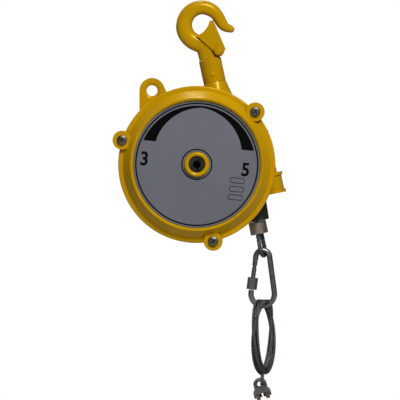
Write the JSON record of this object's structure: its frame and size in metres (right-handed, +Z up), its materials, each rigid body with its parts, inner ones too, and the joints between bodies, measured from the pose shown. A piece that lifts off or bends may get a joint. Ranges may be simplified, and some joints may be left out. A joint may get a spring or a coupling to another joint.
{
  "type": "spring tool balancer",
  "caption": "Spring balancer: round cast casing with rope drum and spiral spring, latched swivel hook above, wire rope with screw carabiner below, and a hanked safety rope with its clip.",
  "frame": {"origin": "the seat of the hook: the highest point inside its bowl, where the balancer hangs", "axes": "+X to the right as the label is read, +Y from the label to the back, +Z up"},
  "size_m": [0.1704, 0.0665, 0.3931],
  "materials": {
    "yellow_casting": "gloss yellow paint on a die casting",
    "yellow_forging": "gloss yellow paint on forged and pressed steel",
    "label_plate": "satin grey foil plate, black print",
    "dark_screws": "dark zinc-plated steel",
    "bright_steel": "turned steel",
    "spring_steel": "blued spring steel",
    "black_rubber": "matte black",
    "bronze": "sintered bronze",
    "bare_casting": "bare die casting",
    "dark_arbor": "blackened steel",
    "wire_rope": "oiled stranded steel rope",
    "ferrule_metal": "dull pressed sleeve, streaked along its length",
    "zinc_steel": "dull zinc-plated steel"
  },
  "bodies": {
    "hook": {"hook": "yellow_forging", "swivel_stem": "bright_steel", "swivel_washer": "bright_steel", "swivel_nut": "bright_steel", "swivel_pin": "yellow_forging", "latch_rivet": "yellow_forging", "latch_spring": "spring_steel"},
    "latch": {"latch": "yellow_forging"},
    "housing": {"rear_housing": "yellow_casting", "front_cover": "yellow_casting", "label_disc": "label_plate", "casing_screws": "dark_screws", "rope_guide": "black_rubber", "arbor_bush": "bronze", "worm_bush": "yellow_casting"},
    "drum": {"rope_drum": "bare_casting", "drum_bush": "bronze", "drum_plate": "bright_steel", "plate_rivets": "bright_steel", "spiral_spring": "spring_steel", "rope_winding": "wire_rope"},
    "arbor": {"arbor": "dark_arbor", "worm_wheel": "bare_casting"},
    "worm": {"worm": "bright_steel"},
    "rope_end": {"ferrule": "ferrule_metal", "rope_run": "wire_rope", "rope_eye": "wire_rope"},
    "carabiner": {"carabiner": "zinc_steel", "gate_pin": "zinc_steel"},
    "gate": {"gate": "zinc_steel"},
    "gate_nut": {"gate_nut": "zinc_steel"},
    "safety_rope": {"safety_hank": "wire_rope", "safety_tail": "wire_rope", "clip_bolt": "zinc_steel", "clip_saddle": "zinc_steel", "clip_nuts": "zinc_steel"}
  },
  "joints": [
    {"name": "swivel", "type": "hinge", "parent": "hook", "child": "housing", "pos_m": [0.01247, 0, -0.06899], "axis": [-0.2079, 0, 0.9781], "continuous": true},
    {"name": "latch_hinge", "type": "hinge", "parent": "hook", "child": "latch", "pos_m": [0.01569, 0, -0.03579], "axis": [0, -1, 0], "range_deg": [0, 30], "stiffness_Nm_per_rad": 0.01, "springref_deg": -28.65},
    {"name": "drum_turn", "type": "hinge", "parent": "housing", "child": "drum", "pos_m": [-0.0056, -0.02, -0.14746], "axis": [0, 1, 0], "range_deg": [0, 1612], "stiffness_Nm_per_rad": 0.02, "springref_deg": -4583.66},
    {"name": "rope_travel", "type": "slide", "parent": "housing", "child": "rope_end", "axis": [0.2079, 0, -0.9781], "range_m": [0, 1.3]},
    {"name": "preload", "type": "hinge", "parent": "housing", "child": "arbor", "pos_m": [-0.0056, -0.02, -0.14746], "axis": [0, 1, 0], "range_deg": [0, 720]},
    {"name": "worm_turn", "type": "hinge", "parent": "housing", "child": "worm", "pos_m": [0.05993, 0.016, -0.13353], "axis": [-0.2079, 0, 0.9781], "range_deg": [-10, 44650]},
    {"name": "carabiner_swing", "type": "hinge", "parent": "rope_end", "child": "carabiner", "pos_m": [0.05912, 0, -0.23829], "axis": [0, 1, 0], "range_deg": [-45, 45]},
    {"name": "gate_hinge", "type": "hinge", "parent": "carabiner", "child": "gate", "pos_m": [0.0515, 0, -0.24444], "axis": [0, -1, 0], "range_deg": [0, 25], "stiffness_Nm_per_rad": 0.01, "springref_deg": -28.65},
    {"name": "nut_travel", "type": "slide", "parent": "gate", "child": "gate_nut", "axis": [0.131, 0, 0.9914], "range_m": [0, 0.008]},
    {"name": "safety_swing", "type": "hinge", "parent": "carabiner", "child": "safety_rope", "pos_m": [0.05912, 0, -0.28604], "axis": [1, 0, 0], "range_deg": [-30, 30]}
  ],
  "couplings": [
    {"joint": "rope_travel", "follows": "drum_turn", "m_per_rad": 0.0462},
    {"joint": "worm_turn", "follows": "preload", "ratio": 62}
  ]
}
